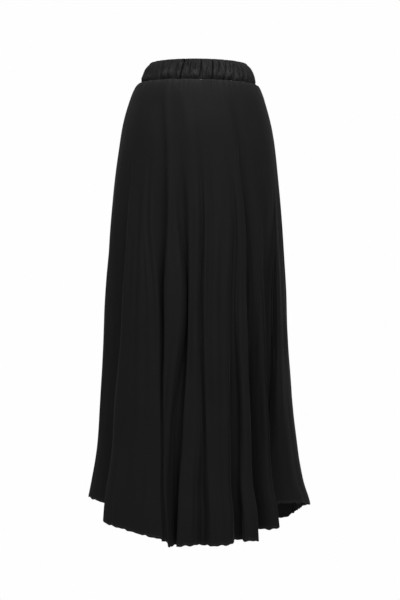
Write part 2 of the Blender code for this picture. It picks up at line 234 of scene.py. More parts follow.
# %% The folds of the back
BACK_FOLDS = [
    Fold("right_seam", 89.5, 90, 92, 96, 0, 6, 18, 0.25, -909),
    Fold("h_left", 102, 105, 110.5, 117.5, 0, 0, 1, 0.25, -929),
    Fold("h_right", 112.5, 117, 121.5, 125.5, 1, 2, 1, 0.20, -945),
    Fold("hi_valley", 117.5, 121, 125, 129, 18, 38, 50, 0.12, -949),
    Fold("i_under", 123.5, 128, 132.5, 135, 18, 38, 52, 0.12, -951),
    Fold("i_left", 124, 126, 129, 132, -1, -2, -1, 0.12, -953),
    Fold("i_right", 134.5, 138, 141.5, 144, -1, -2, -1, 0.10, -959),
    Fold("j_under", 135, 136, 137.5, 139, 20, 39, 50, 0.10, -959),
    Fold("ij_valley", 139.5, 141, 142.5, 143, 20, 39, 48, 0.10, -959),
    Fold("j_left", 145.5, 147, 148.5, 149, 1, 2, 1, 0.12, -960),
    Fold("j_right", 155, 158, 161, 163, -1, -1, -1, 0.06, -965),
    Fold("k_under", 156.5, 156.5, 157, 158, 22, 41, 50, 0.06, -965),
    Fold("jk_valley", 160.5, 161, 161.5, 162, 22, 41, 50, 0.06, -965),
    Fold("k_left", 165.5, 166, 167, 168, 2, 3, 2, 0.10, -966),
    Fold("k_right", 174.5, 176, 178, 180, 0, 0, 0, 0.10, -968),
    Fold("kl_valley", 179.5, 180.5, 182, 184.5, 20, 39, 50, 0.08, -967),
    Fold("l_under", 184, 185.5, 187.5, 190, 20, 39, 50, 0.08, -967),
    Fold("l_left", 185, 184, 184, 185.5, -2, -3, -2, 0.08, -967),
    Fold("l_right", 194.5, 195, 196, 197, 0, 0, 1, 0.12, -962),
    Fold("lm_valley", 199.5, 199.5, 200, 201.5, 15, 31, 42, 0.10, -959),
    Fold("m_under", 204, 204.5, 205.5, 206.5, 15, 31, 42, 0.10, -958),
    Fold("m_left", 205, 203.5, 202.5, 203, 0, 0, -1, 0.12, -957),
    Fold("m_right", 215.5, 216, 217, 218, -1, -2, -1, 0.12, -948),
    Fold("n_under", 216.5, 214, 212.5, 213, 21, 40, 50, 0.07, -945),
    Fold("mn_valley", 221, 219, 218, 218, 21, 40, 50, 0.07, -941),
    Fold("n_left", 227, 225, 224.5, 226, 2, 3, 2, 0.12, -934),
    Fold("n_right", 237.5, 237, 237, 238, -1, -2, -1, 0.15, -917),
    Fold("o_under", 239, 235.5, 233, 233, 14, 33, 50, 0.15, -908),
    Fold("no_valley", 243.5, 240.5, 238.5, 238, 14, 33, 50, 0.15, -901),
    Fold("o_left", 250, 247, 245.5, 246, 1, 2, 2, 0.20, -889),
    Fold("o_right", 261, 260, 260.5, 263, 0, 0, -1, 0.25, -867),
]
FOLDS = FRONT_FOLDS + BACK_FOLDS
print(len(BACK_FOLDS), "lines of folds across the back")

# %% [markdown]
# ## How a fold grows
# A fold starts as nothing under the hips and is deepest at the hem. Its line runs smoothly through the places
# of its row, from where its cloth is sewn at the waist. Its depth grows smoothly from its start.

# %% Lines and depths of the folds
def fold_turn(u, drop, waist_turn):
    """The turn of the cloth at place u among the folds, from the waist's through the table's four."""
    turns = [round_table(FOLDS, u, column, 360)
             for column in ("turn_high", "turn_mid", "turn_low", "turn_hem")]
    hip_turn = waist_turn + HIP_PART * (turns[0] - waist_turn)
    return along_table([(0.0, waist_turn), (HIP_SHARE, hip_turn), *zip(TURN_SHARES, turns)], drop)[0]


def fold_depth(drop, start, depths):
    """A fold's depth: nothing above its start, then growing through its three depths. It sets off level."""
    if drop <= start:
        return 0.0
    rows = list(zip(DEPTH_SHARES, depths))
    return along_table([(2 * start - DEPTH_SHARES[0], depths[0]), (start, 0.0), *rows], drop)[0]


print("a fold that is 20 mm deep half way, 35 lower down and 50 at the hem:",
      [round(fold_depth(share / 4, 0.1, (20, 35, 50))) for share in range(5)], "mm down the skirt")

# %% [markdown]
# ## The gathers
# The waistband is a strip of cloth, over a quarter longer than the waist, drawn in by the elastic inside it.
# It puckers in upright puffs with grooves between them, which lean a little. Each row is one groove, with its
# turn at the seam and at the top edge, its depth and width in millimetres, and the part of the band's height
# it runs through. The skirt puckers under the same grooves, so they come first.

# %% The grooves between the gathers
PUCKER_LEAST = 0.4
Groove = namedtuple("Groove", "turn_seam turn_top depth width low high")
GROOVES = [
    Groove(-90, -90, 2.2, 1.7, 0.0, 1.2),
    Groove(-81, -80, 3.0, 2.0, 0.16, 1.2),
    Groove(-74, -72, 4.2, 2.2, 0.12, 1.0),
    Groove(-67, -63, 5.0, 2.4, 0.10, 1.2),
    Groove(-59, -57, 4.2, 2.2, 0.14, 1.0),
    Groove(-52, -52, 3.0, 1.4, -0.2, 1.2),
    Groove(-46, -47, 1.4, 1.0, 0.4, 1.2),
    Groove(-41.3, -44, 6.2, 1.5, -0.2, 1.2),
    Groove(-35.5, -36, 1.4, 1.0, 0.1, 0.6),
    Groove(-31.5, -30, 2.8, 1.0, 0.2, 1.2),
    Groove(-25, -23, 1.8, 1.0, -0.2, 0.8),
    Groove(-18.5, -15.5, 4.2, 1.3, -0.2, 1.2),
    Groove(-14, -11, 1.2, 1.0, 0.5, 1.2),
    Groove(-10, -7.5, 2.0, 1.0, 0.1, 1.2),
    Groove(-5, -3, 1.4, 1.0, 0.3, 0.9),
    Groove(1, 3.5, 2.4, 1.2, -0.06, 1.2),
    Groove(7.5, 9.5, 1.6, 1.0, -0.2, 0.7),
    Groove(13, 16, 3.4, 1.1, -0.2, 1.2),
    Groove(19, 24, 2.2, 1.0, 0.2, 1.2),
    Groove(25.5, 33, 3.8, 1.2, -0.2, 1.2),
    Groove(31, 39, 1.8, 1.0, 0.2, 1.2),
    Groove(37, 43, 1.6, 1.0, -0.2, 0.7),
    Groove(46.5, 49.5, 4.0, 1.3, -0.2, 1.2),
    Groove(55, 57, 3.0, 1.2, -0.2, 1.2),
    Groove(62, 63, 1.6, 1.0, -0.2, 0.6),
    Groove(70, 70, 2.6, 1.4, 0.2, 1.2),
    Groove(80, 80, 1.8, 1.4, -0.2, 1.0),
]


def groove_at(turn):
    """How strongly the skirt puckers at a turn along the waist seam. The back repeats the front's grooves."""
    turn = (turn + 90) % 180 - 90
    seams = [groove.turn_seam for groove in GROOVES] + [90]
    i = max(j for j in range(len(GROOVES)) if seams[j] <= turn)
    near = math.cos(math.pi * (turn - seams[i]) / (seams[i + 1] - seams[i])) ** 2
    deepest = max(groove.depth for groove in GROOVES)
    return near * (PUCKER_LEAST + (1 - PUCKER_LEAST) * GROOVES[i].depth / deepest)


print(2 * len(GROOVES), "grooves round the waist")

# %% [markdown]
# ## One panel
# Front and back are cut from the same pattern, so equal widths of hem hang from equal widths of waist. The
# panel measures its hem first, shares the waist out by that, and can then tell where any spot of the cloth
# hangs: u counts the folds across, and drop runs from 0 at the waist to 1 at the hem. Close under the seam
# the cloth rolls out over its own seam allowance, which makes the thin welt that catches the light there.
# A stitched edge on the bias never hangs quite straight, so two small waves ripple the hem.

# %% The panel
PUCKER_DEPTH = 4.2 * MM
PUCKER_FADE = 0.038
WELT = 2.6 * MM
WELT_FADE = 11 * MM
TUCK = 5.0 * MM
TUCK_HEIGHT = 1.1 * MM
HEM_RIPPLE, HEM_WAVES = 0.8 * MM, (43, 71)


def hem_point(u):
    return skirt_point(round_table(FOLDS, u, "turn_hem", 360), round_table(FOLDS, u, "hem") * MM,
                       round_table(FOLDS, u, "depth_hem") * MM)


class Panel:
    STEPS = 24

    def __init__(self, first, last, turn_from):
        self.first, self.last, self.turn_from = first, last, turn_from
        points = [hem_point(first + i / self.STEPS) for i in range((last - first) * self.STEPS + 1)]
        self.hem_lengths = [0.0]
        for a, b in zip(points, points[1:]):
            self.hem_lengths.append(self.hem_lengths[-1] + math.dist(a, b))

    def share_of_hem(self, u):
        place = (u - self.first) * self.STEPS
        i = min(int(place), len(self.hem_lengths) - 2)
        length = self.hem_lengths[i] + (place - i) * (self.hem_lengths[i + 1] - self.hem_lengths[i])
        return length / self.hem_lengths[-1]

    def point(self, u, drop):
        hem_share = self.share_of_hem(u)
        waist_turn = self.turn_from + 180 * hem_share
        top = seam_height(waist_turn)
        ripple = sum(math.sin(2 * math.pi * count * hem_share) for count in HEM_WAVES)
        below = drop * (top - round_table(FOLDS, u, "hem") * MM - HEM_RIPPLE * ripple)
        turn = fold_turn(u, drop, waist_turn)
        depths = [round_table(FOLDS, u, column) for column in ("depth_mid", "depth_low", "depth_hem")]
        depth = fold_depth(drop, round_table(FOLDS, u, "start"), depths) * MM
        pucker = PUCKER_DEPTH * groove_at(waist_turn) * max(0, 1 - drop / PUCKER_FADE) ** 2
        welt = WELT * math.exp(-below / WELT_FADE)
        tuck = TUCK * math.exp(-(below / TUCK_HEIGHT) ** 2)
        return skirt_point(turn, top - below, depth + pucker - welt + tuck)


SIDE = len(FRONT_FOLDS)
front = Panel(0, SIDE, -90)
back = Panel(SIDE, len(FOLDS), 90)
print("hem of the front", round(front.hem_lengths[-1], 3), "m, of the back", round(back.hem_lengths[-1], 3))

# %% [markdown]
# ## A fine grid of the cloth
# The panel is asked for its point at every crossing of a fine grid: twelve columns from each line of the
# folds to the next, and rows that are closest at the seam and at the hem, where small things happen. The
# points are kept in an array, because every later step moves all of them at once.

# %% The grids of both panels
import numpy as np

COLUMNS_PER_FOLD = 12
SEAM_COLUMNS = (0.04, 0.08)
SEAM_ROWS = (0.0, 0.0004, 0.0008, 0.0012, 0.0017, 0.0023, 0.0032, 0.0045, 0.0065, 0.009)
BODY_START, BODY_END, BODY_ROWS = 0.012, 0.980, 94
HEM_ROWS = (0.9870, 0.9925, 0.9940, 0.9953, 0.9977, 1.0)
body_rows = [BODY_START + (BODY_END - BODY_START) * i / BODY_ROWS for i in range(BODY_ROWS + 1)]
drops = [*SEAM_ROWS, *body_rows, *HEM_ROWS]


def columns_of(panel):
    count = (panel.last - panel.first) * COLUMNS_PER_FOLD
    even = [panel.first + i / COLUMNS_PER_FOLD for i in range(count + 1)]
    return sorted(even + [panel.first + s for s in SEAM_COLUMNS] + [panel.last - s for s in SEAM_COLUMNS])


def grid_of(panel):
    return np.array([[panel.point(u, drop) for u in columns_of(panel)] for drop in drops])


front_grid, back_grid = grid_of(front), grid_of(back)
print("rows, columns, xyz:", front_grid.shape, back_grid.shape)

# %% [markdown]
# ## Moving cloth in and out
# A crease is made by pushing the grid along the way it faces. That direction comes from its two neighbours
# down the cloth and its two neighbours across it. How far a spot is from a crease is measured along the
# cloth, not through the air, so that a crease inside a fold stays inside it.

# %% Directions and distances on the grid
def facing(grid):
    """The outward direction of the cloth at each point of its grid."""
    out = np.cross(np.gradient(grid, axis=0), np.gradient(grid, axis=1))
    return out / np.linalg.norm(out, axis=2, keepdims=True)


def arc_lengths(grid):
    """How far each point lies from the first column, measured along its own row."""
    steps = np.linalg.norm(np.diff(grid, axis=1), axis=2)
    return np.concatenate([np.zeros((len(grid), 1)), np.cumsum(steps, axis=1)], axis=1)


def smooth_step(value, low, high):
    t = np.clip((value - low) / (high - low), 0, 1)
    return t * t * (3 - 2 * t)


print("the front is", round(float(arc_lengths(front_grid)[len(drops) // 2, -1]), 3), "m wide half way down")

# %% [markdown]
# ## The creases
# Between the big folds the cloth has smaller lines: thin ones that run down from the hips like a pressed
# pleat, soft troughs on the wide folds, and faint ridges. Each is a row with its place among the folds at
# its top and bottom, its width and height, and the share of the drop where it fades in and out. A height
# under zero is a trough. They are uneven on purpose, and the back gets ones like them.

# %% Tables of creases
Crease = namedtuple("Crease", "place_top place_hem width height start end")
FRONT_CREASES = [
    Crease(0.55, 0.6, 7, -1.8, 0.30, 1.2),
    Crease(4.1, 4.2, 7, 1.6, 0.20, 0.70),
    Crease(4.5, 4.55, 6, -2.0, 0.30, 1.2),
    Crease(4.9, 4.9, 5, -2.4, 0.22, 0.75),
    Crease(5.15, 5.15, 7, 2.0, 0.30, 0.95),
    Crease(5.5, 5.45, 6, -1.8, 0.42, 1.2),
    Crease(6.05, 6.0, 5, -2.6, 0.12, 0.70),
    Crease(6.4, 6.4, 6, 1.6, 0.22, 0.60),
    Crease(7.2, 7.4, 22, -3.4, -0.02, 0.40),
    Crease(7.5, 7.5, 12, -3.6, 0.18, 0.54),
    Crease(9.4, 9.3, 9, 2.4, -0.05, 0.32),
    Crease(9.2, 9.2, 5, 1.6, 0.18, 0.75),
    Crease(9.6, 9.55, 4, -1.6, 0.25, 0.80),
    Crease(9.85, 9.8, 5, 1.4, 0.35, 1.2),
    Crease(11.3, 11.3, 12, -2.8, 0.16, 0.44),
    Crease(13.6, 13.6, 12, 2.4, -0.02, 0.26),
    Crease(13.3, 13.25, 4, -1.8, 0.25, 0.75),
    Crease(13.8, 13.8, 5, 1.8, 0.20, 1.2),
    Crease(15.0, 15.0, 7, -2.0, 0.09, 0.45),
    Crease(15.0, 15.0, 7, -2.5, 0.80, 1.2),
    Crease(15.75, 15.7, 4, 1.4, 0.20, 0.90),
    Crease(16.3, 15.9, 4, -2.8, 0.14, 0.78),
    Crease(16.5, 16.3, 5, 1.6, 0.25, 0.85),
    Crease(16.75, 16.6, 5, -1.8, 0.30, 1.2),
    Crease(20.3, 20.3, 5, 1.8, 0.18, 1.2),
    Crease(21.0, 21.0, 4, 1.4, 0.24, 1.0),
    Crease(21.2, 21.2, 9, 1.6, 0.00, 0.30),
    Crease(22.7, 22.7, 12, -3.4, 0.00, 0.45),
    Crease(24.9, 24.9, 4, 1.5, 0.28, 1.0),
    Crease(24.4, 24.4, 4, -1.5, 0.40, 1.2),
    Crease(28.1, 28.0, 6, 1.8, 0.40, 0.85),
    Crease(28.5, 28.4, 8, -1.6, 0.20, 1.2),
    Crease(29.4, 29.5, 7, 1.8, 0.02, 0.60),
]
BACK_CREASES = [
    Crease(30.6, 30.6, 7, -2.2, 0.08, 0.90),
    Crease(31.3, 31.4, 8, 2.0, 0.20, 1.2),
    Crease(31.7, 31.7, 6, -2.0, 0.12, 0.80),
    Crease(33.0, 33.0, 7, -2.4, 0.08, 0.45),
    Crease(35.3, 35.3, 5, -1.8, 0.28, 1.2),
    Crease(35.7, 35.7, 5, 1.8, 0.10, 0.90),
    Crease(38.0, 38.0, 7, -2.8, 0.06, 0.48),
    Crease(39.3, 39.3, 5, 2.0, 0.12, 0.80),
    Crease(39.6, 39.6, 5, -2.0, 0.22, 1.2),
    Crease(42.0, 42.0, 8, -3.0, 0.05, 0.45),
    Crease(43.3, 43.4, 5, -1.8, 0.14, 0.85),
    Crease(43.7, 43.7, 6, 1.8, 0.35, 1.2),
    Crease(45.0, 45.0, 7, -2.8, 0.07, 0.50),
    Crease(47.4, 47.4, 5, -2.0, 0.16, 0.75),
    Crease(47.8, 47.7, 5, 1.8, 0.10, 1.2),
    Crease(49.5, 49.3, 6, -2.6, 0.06, 0.48),
    Crease(51.4, 51.5, 6, -2.2, 0.14, 0.95),
    Crease(51.7, 51.7, 5, 1.6, 0.30, 1.2),
    Crease(54.0, 54.0, 8, -3.0, 0.06, 0.45),
    Crease(55.3, 55.3, 6, 1.8, 0.10, 0.70),
    Crease(55.6, 55.5, 6, -2.0, 0.25, 1.2),
    Crease(58.0, 58.0, 8, -2.4, 0.08, 0.50),
    Crease(59.3, 59.4, 8, 2.0, 0.12, 0.80),
    Crease(59.8, 59.8, 7, -2.2, 0.20, 1.2),
    Crease(60.4, 60.4, 8, 1.8, 0.10, 1.2),
]
print(len(FRONT_CREASES) + len(BACK_CREASES), "creases")

# %% Press the creases in
FADE = 0.12


def crease_heights(panel, grid, creases):
    """How far each point of the grid moves outwards for all the creases of its panel."""
    places, arcs = columns_of(panel), arc_lengths(grid)
    heights = np.zeros(arcs.shape)
    for crease in creases:
        for row, drop in enumerate(drops):
            shown = smooth_step(drop, crease.start, crease.start + FADE)
            shown *= 1 - smooth_step(drop, crease.end - FADE, crease.end)
            if shown:
                place = crease.place_top + (crease.place_hem - crease.place_top) * drop
                away = arcs[row] - np.interp(place, places, arcs[row])
                heights[row] += crease.height * MM * shown * np.exp(-(away / (crease.width * MM)) ** 2)
    return heights


front_heights = crease_heights(front, front_grid, FRONT_CREASES)
back_heights = crease_heights(back, back_grid, BACK_CREASES)
print("creases reach from", round(float(front_heights.min() / MM), 1), "to",
      round(float(front_heights.max() / MM), 1), "mm")

# %% [markdown]
# ## Uneven cloth
# Real cloth is never as even as a formula. A slow noise makes it swell and sink by a fraction of a
# millimetre, in long streaks that follow the folds, because its own weight stretches it downwards. Under the
# waist seam it shirrs in short puckers. Near the hem the weight ends and the edge flutters a little. The
# thread of each side seam pulls the cloth in. A Displace modifier could do this too, but its waves wouldn't
# follow the cloth. Below, ACROSS and DOWN say how close the waves of each kind are, and RUN over which drops
# it sets in.

# %% Unevenness, flutter and the pull of the side seams
from mathutils import Vector, noise

SWELL, SWELL_ACROSS, SWELL_DOWN, SWELL_RUN = 2.2 * MM, 26, 7, (0.0, 0.1)
STREAK, STREAK_ACROSS, STREAK_DOWN, STREAK_RUN = 1.7 * MM, 150, 6, (0.12, 0.5)
SHIRR, SHIRR_ACROSS, SHIRR_DOWN, SHIRR_RUN, SHIRR_FADE = 2.6 * MM, 48, 12, (0, 0.004), 0.05
FLUTTER, FLUTTER_ACROSS, FLUTTER_RUN = 1.8 * MM, 52, (0.93, 1.0)
STREAK_SEED, SHIRR_SEED, FLUTTER_SEED = 20, 40, 60
FRONT_SEED, BACK_SEED = 1, 7
SEAM_PULL, SEAM_PULL_WIDTH = 0.7 * MM, 2.5 * MM


def uneven_heights(panel, grid, seed):
    shares = [panel.share_of_hem(u) for u in columns_of(panel)]
    heights = np.zeros((len(drops), len(shares)))
    for row, drop in enumerate(drops):
        flutter = FLUTTER * float(smooth_step(drop, *FLUTTER_RUN))
        calm = float(smooth_step(drop, *SWELL_RUN))
        hung = STREAK * float(smooth_step(drop, *STREAK_RUN))
        shirr = SHIRR * max(0, 1 - drop / SHIRR_FADE) ** 2 * float(smooth_step(drop, *SHIRR_RUN))
        for column, share in enumerate(shares):
            x, y, z = grid[row, column]
            swell = noise.noise(Vector((x * SWELL_ACROSS, y * SWELL_ACROSS, z * SWELL_DOWN + seed)))
            streak = noise.noise(Vector((share * STREAK_ACROSS, drop * STREAK_DOWN, seed + STREAK_SEED)))
            small = noise.noise(Vector((share * SHIRR_ACROSS, drop * SHIRR_DOWN, seed + SHIRR_SEED)))
            edge = noise.noise(Vector((share * FLUTTER_ACROSS, 0, seed + FLUTTER_SEED)))
            heights[row, column] = calm * SWELL * swell + hung * streak + shirr * small + flutter * edge
    return heights


def seam_pull(grid):
    arcs = arc_lengths(grid)
    from_end = np.minimum(arcs, arcs[:, -1:] - arcs)
    return -SEAM_PULL * np.exp(-(from_end / SEAM_PULL_WIDTH) ** 2)


def pressed(panel, grid, heights, seed):
    """The grid with its creases, its unevenness and the pull of its side seams."""
    heights = heights + uneven_heights(panel, grid, seed) + seam_pull(grid)
    return grid + facing(grid) * heights[..., None]


front_grid = pressed(front, front_grid, front_heights, FRONT_SEED)
back_grid = pressed(back, back_grid, back_heights, BACK_SEED)
for a, b in ((0, -1), (-1, 0)):
    shared = (front_grid[:, a] + back_grid[:, b]) / 2
    front_grid[:, a], back_grid[:, b] = shared, shared
print("front panel reaches from z =", round(float(front_grid[..., 2].min()), 3), "to",
      round(float(front_grid[..., 2].max()), 3))

# %% [markdown]
# ## The flat pattern
# Before it was sewn, each panel was a flat piece shaped like a wide fan: a short curve for the waist, a long
# one for the hem, and straight sides. Laying the grid out on that fan gives every point its place on the
# cloth, and that is what the weave has to follow. The place is kept as the mesh's UV map, in metres. Blender
# could unwrap the mesh by itself, but it wouldn't find the piece that was cut.

# %% Where each grid point was on the cloth
PATTERN_WAIST = 0.36
PATTERN_LENGTH = 0.93


def flat_pattern(panel):
    hem = panel.hem_lengths[-1]
    spread = (hem - PATTERN_WAIST) / PATTERN_LENGTH
    waist_radius = PATTERN_WAIST / spread
    angles = np.array([(panel.share_of_hem(u) - 0.5) * spread for u in columns_of(panel)])
    radii = np.array([waist_radius + PATTERN_LENGTH * drop for drop in drops])[:, None]
    return np.stack([radii * np.sin(angles), -radii * np.cos(angles)], axis=2), spread, waist_radius


front_flat, fan_angle, fan_radius = flat_pattern(front)
back_flat = flat_pattern(back)[0]

# %% [markdown]
# ## From grid to cloth
# A sheet is a mesh of four-sided faces over its grid, with its outer side facing out. Solidify then gives it
# a wall on the inner side, so it is cloth from both sides, and shading is smooth except at the cut edges.

# %% A helper that makes a sheet of cloth
WALL = 0.8 * MM
SHEET_ANGLE, TUBE_ANGLE = 50, 60


def mesh_of(name, points, faces, uvs=None, edges=None):
    mesh = bpy.data.meshes.new(name)
    mesh.from_pydata([tuple(p) for p in points], [], faces)
    # Painted highlight: the edge values say where the crepe material lightens its base colour.
    if edges is not None:
        values = np.asarray(edges, dtype=np.float32).ravel()
        mesh.attributes.new("edge", "FLOAT", "POINT").data.foreach_set("value", values)
    if uvs is not None:
        layer = mesh.uv_layers.new(name="cloth")
        corners = np.empty(len(mesh.loops), dtype=np.int32)
        mesh.loops.foreach_get("vertex_index", corners)
        layer.data.foreach_set("uv", np.asarray(uvs, dtype=np.float32)[corners].ravel())
    piece = bpy.data.objects.new(name, mesh)
    scene.collection.objects.link(piece)
    return piece


def grid_faces(rows, columns, around=False):
    """The faces of a grid of points. around joins the last row to the first."""
    faces = []
    for r in range(rows if around else rows - 1):
        here, below = r * columns, (r + 1) % rows * columns
        faces += [(here + c, below + c, below + c + 1, here + c + 1) for c in range(columns - 1)]
    return faces


def finish_smooth(piece, angle=SHEET_ANGLE):
    """Applies the modifiers and shades the piece smooth, except at edges sharper than the angle."""
    bpy.ops.object.select_all(action="DESELECT")
    piece.select_set(True)
    bpy.context.view_layer.objects.active = piece
    for modifier in list(piece.modifiers):
        bpy.ops.object.modifier_apply(modifier=modifier.name)
    bpy.ops.object.shade_smooth_by_angle(angle=math.radians(angle))
    return piece


def cloth_sheet(name, grid, flat, wall=WALL, edges=None):
    rows, columns = grid.shape[:2]
    piece = mesh_of(name, grid.reshape(-1, 3), grid_faces(rows, columns), flat.reshape(-1, 2), edges)
    thickness = piece.modifiers.new("wall", "SOLIDIFY")
    thickness.thickness = wall
    thickness.offset = -1
    return finish_smooth(piece)


# Painted highlight: the base colour is lightened along the waist seam's welt and, less, along the hem.
SEAM_HIGHLIGHT_WIDTH, HEM_HIGHLIGHT_WIDTH, HEM_HIGHLIGHT_SHARE = 0.0026, 0.006, 0.4


def painted_edge_highlight(grid):
    """Painted highlight: how much the base colour is lightened, 1 along the welt under the waist seam, less
    at the hem, 0 between.
    """
    down = np.array(drops)
    edge = np.exp(-(down / SEAM_HIGHLIGHT_WIDTH) ** 2) + HEM_HIGHLIGHT_SHARE * np.exp(-((1 - down) / HEM_HIGHLIGHT_WIDTH) ** 2)
    return np.repeat(edge[:, None], grid.shape[1], axis=1)


# The edge attribute carries the painted highlight of the seam welt and the hem.
front_panel = cloth_sheet("front_panel", front_grid, front_flat, edges=painted_edge_highlight(front_grid))
back_panel = cloth_sheet("back_panel", back_grid, back_flat, edges=painted_edge_highlight(back_grid))
print("faces:", len(front_panel.data.polygons), len(back_panel.data.polygons))

# %% [markdown]
# ## The turned hem
# The cut edge is turned up twice inside, six millimetres deep, and stitched. From outside only the fold and
# a row of stitches show. From below, where the hem swings up, the turned strip itself does. The panel's own
# edge could be folded over, but then its grid would double back. So the strip is a narrow sheet of its own
# over the last rows of that grid, moved in by the thickness of the cloth.

# %% The hem inside each panel
HEM_DROP = 0.9940
HEM_WALL = 0.9 * MM
HEM_GAP = 0.05 * MM


def hem_strip(name, grid, flat):
    first = drops.index(HEM_DROP)
    inward = -facing(grid)[first:]
    strip = grid[first:] + inward * (WALL + HEM_GAP)
    return cloth_sheet(name, strip, flat[first:], HEM_WALL)


front_hem = hem_strip("front_hem", front_grid, front_flat)
back_hem = hem_strip("back_hem", back_grid, back_flat)
print("hem strips:", len(front_hem.data.polygons) + len(back_hem.data.polygons), "faces")

# %% [markdown]
# ## The side seams
# Front and back are sewn face to face, and the spare cloth, the seam allowance, is pressed open inside. So
# each side seam is a shallow groove outside and a flat double strip inside. The strip is laid over both
# panels' grids, twelve millimetres to each side of the seam.

# %% The seam allowances
ALLOWANCE = 12 * MM
ALLOWANCE_STEPS = 4
ALLOWANCE_WALL = 0.6 * MM
ALLOWANCE_GAP = 0.1 * MM


def beside_seam(grid, distance, from_start):
    """The points of each row at a distance from its first or last column, measured along the cloth."""
    arcs = arc_lengths(grid)
    points = []
    for row in range(len(grid)):
        place = distance if from_start else arcs[row, -1] - distance
        points.append([np.interp(place, arcs[row], grid[row, :, axis]) for axis in range(3)])
    return np.array(points)


def side_allowance(name, before, after):
    """The strip inside the seam between the last column of one panel and the first of the next."""
    inner_before = before - facing(before) * (WALL + ALLOWANCE_GAP)
    inner_after = after - facing(after) * (WALL + ALLOWANCE_GAP)
    steps = [ALLOWANCE * (1 - i / ALLOWANCE_STEPS) for i in range(ALLOWANCE_STEPS + 1)]
    strips = [beside_seam(inner_before, step, False) for step in steps]
    strips += [beside_seam(inner_after, step, True) for step in steps[::-1][1:]]
    grid = np.stack(strips, axis=1)
    across = np.linspace(-ALLOWANCE, ALLOWANCE, grid.shape[1])
    down = np.array(drops) * PATTERN_LENGTH
    flat = np.stack(np.meshgrid(across, -down), axis=2)
    return cloth_sheet(name, grid, flat, ALLOWANCE_WALL)


left_allowance = side_allowance("left_seam_allowance", back_grid, front_grid)
right_allowance = side_allowance("right_seam_allowance", front_grid, back_grid)
print("seam allowances:", len(left_allowance.data.polygons) + len(right_allowance.data.polygons), "faces")

# %% [markdown]
# ## The waistband
# The casing is one strip folded over the elastic, so its cross section is a flat loop: up the outside, over
# the top fold, and down the inside. Its widths at a few heights are in a table, and the gathers are cut into
# it. Just over the seam the elastic ends and the cloth is drawn in, which leaves a dark pocket under most of
# the gathers. Puffs stand out where the light catches them, and fine wrinkles run up and down between the
# grooves. Cloth simulated on a shrinking elastic would gather too, but the puffs would fall anywhere.

# %% The band's outline and its wrinkles
BandSection = namedtuple("BandSection", "share centre half_width half_depth")
BAND_SECTIONS = [BandSection(share, centre * MM, width * MM, depth * MM) for share, centre, width, depth in (
    (0.0, 4.5, 119.8, 92.7),
    (0.12, 4.5, 120.0, 92.9),
    (0.3, 4.7, 118.7, 92.0),
    (0.5, 5.0, 116.3, 90.6),
    (0.7, 4.8, 112.9, 89.6),
    (0.85, 4.9, 109.0, 89.0),
    (1.0, 4.6, 102.8, 88.2),
)]
BAND_TOP_HEIGHT = 22.7 * MM
BAND_TOP_FRONT_DIP = 1.7 * MM
BAND_TOP_ROLL = 1.0 * MM
BAND_WALL = 3.4 * MM
BAND_MM_PER_DEGREE = 2.0
POCKETS = ((-80, -57), (-39, -27), (-15.5, 0.5), (8.5, 15.5), (19.5, 27), (30.5, 36.5), (43, 51.5), (66, 72))
POCKET, POCKET_SHARE, POCKET_END = 1.7 * MM, 0.11, 1.4 / 3
GROOVE_FADE, GROOVE_INSIDE = 0.2, 0.4
WRINKLE, WRINKLES_PER_DEGREE, WRINKLES_UP, WRINKLE_EDGE, WRINKLE_SEED = 0.8 * MM, 0.36, 1.1, 0.09, 7.0
FINE_ACROSS, FINE_UP, FINE_SEED, FINE_LINE, FINE_SWELL = 2.3, 1.9, 11.0, 0.5, 0.8
BAND_CUT = (0.43, 0.042)
Puff = namedtuple("Puff", "turn share width height rise")
PUFFS = [Puff(*row) for row in (
    (-77, 0.14, 6, 0.18, 2.4),
    (-64, 0.12, 7, 0.18, 3.0),
    (-36, 0.26, 4, 0.24, 3.7),
    (-29, 0.34, 4, 0.28, 3.5),
    (-20.5, 0.21, 3, 0.30, 1.7),
    (-2.5, 0.14, 4, 0.18, 2.0),
    (6, 0.46, 3.5, 0.25, 1.7),
    (16.5, 0.28, 4, 0.26, 3.0),
    (26, 0.41, 4, 0.30, 2.9),
    (32, 0.23, 4, 0.24, 2.9),
    (42, 0.14, 5, 0.20, 3.1),
    (59, 0.26, 5, 0.30, 2.1),
    (75, 0.21, 5, 0.30, 1.9),
)]


def band_top_height(turn):
    angle = math.radians(turn)
    return BAND_TOP_HEIGHT - BAND_TOP_FRONT_DIP * math.cos(angle) - BAND_TOP_ROLL * math.sin(angle)


def pocket_at(turn):
    """1 over a dark pocket of the seam and 0 between two."""
    turn = (turn + 90) % 180 - 90
    return max(1 / (1 + math.exp((abs(turn - (low + high) / 2) - (high - low) / 2) / POCKET_END))
               for low, high in POCKETS)


def grooves_at(u, share):
    """How deep the grooves are at a place along the band."""
    count, total = len(GROOVES), 0.0
    here = round_table(GROOVES, u, "turn_seam", 180)
    for i in range(math.floor(u) - 1, math.floor(u) + 3):
        groove = GROOVES[i % count]
        away = (here - groove.turn_seam - 180 * (i // count)) * BAND_MM_PER_DEGREE
        run = smooth_step(share, groove.low, groove.low + GROOVE_FADE)
        run *= 1 - smooth_step(share, groove.high - GROOVE_FADE, groove.high)
        total += groove.depth * MM * float(run) * math.exp(-(away / groove.width) ** 2)
    return total


def puffs_at(turn, share):
    """How far the puffs stand out at a turn and a share of the band's height."""
    turn = (turn + 90) % 180 - 90
    return sum(puff.rise * MM * math.exp(-((turn - puff.turn) * BAND_MM_PER_DEGREE / puff.width) ** 2
                                         - ((share - puff.share) / puff.height) ** 2) for puff in PUFFS)


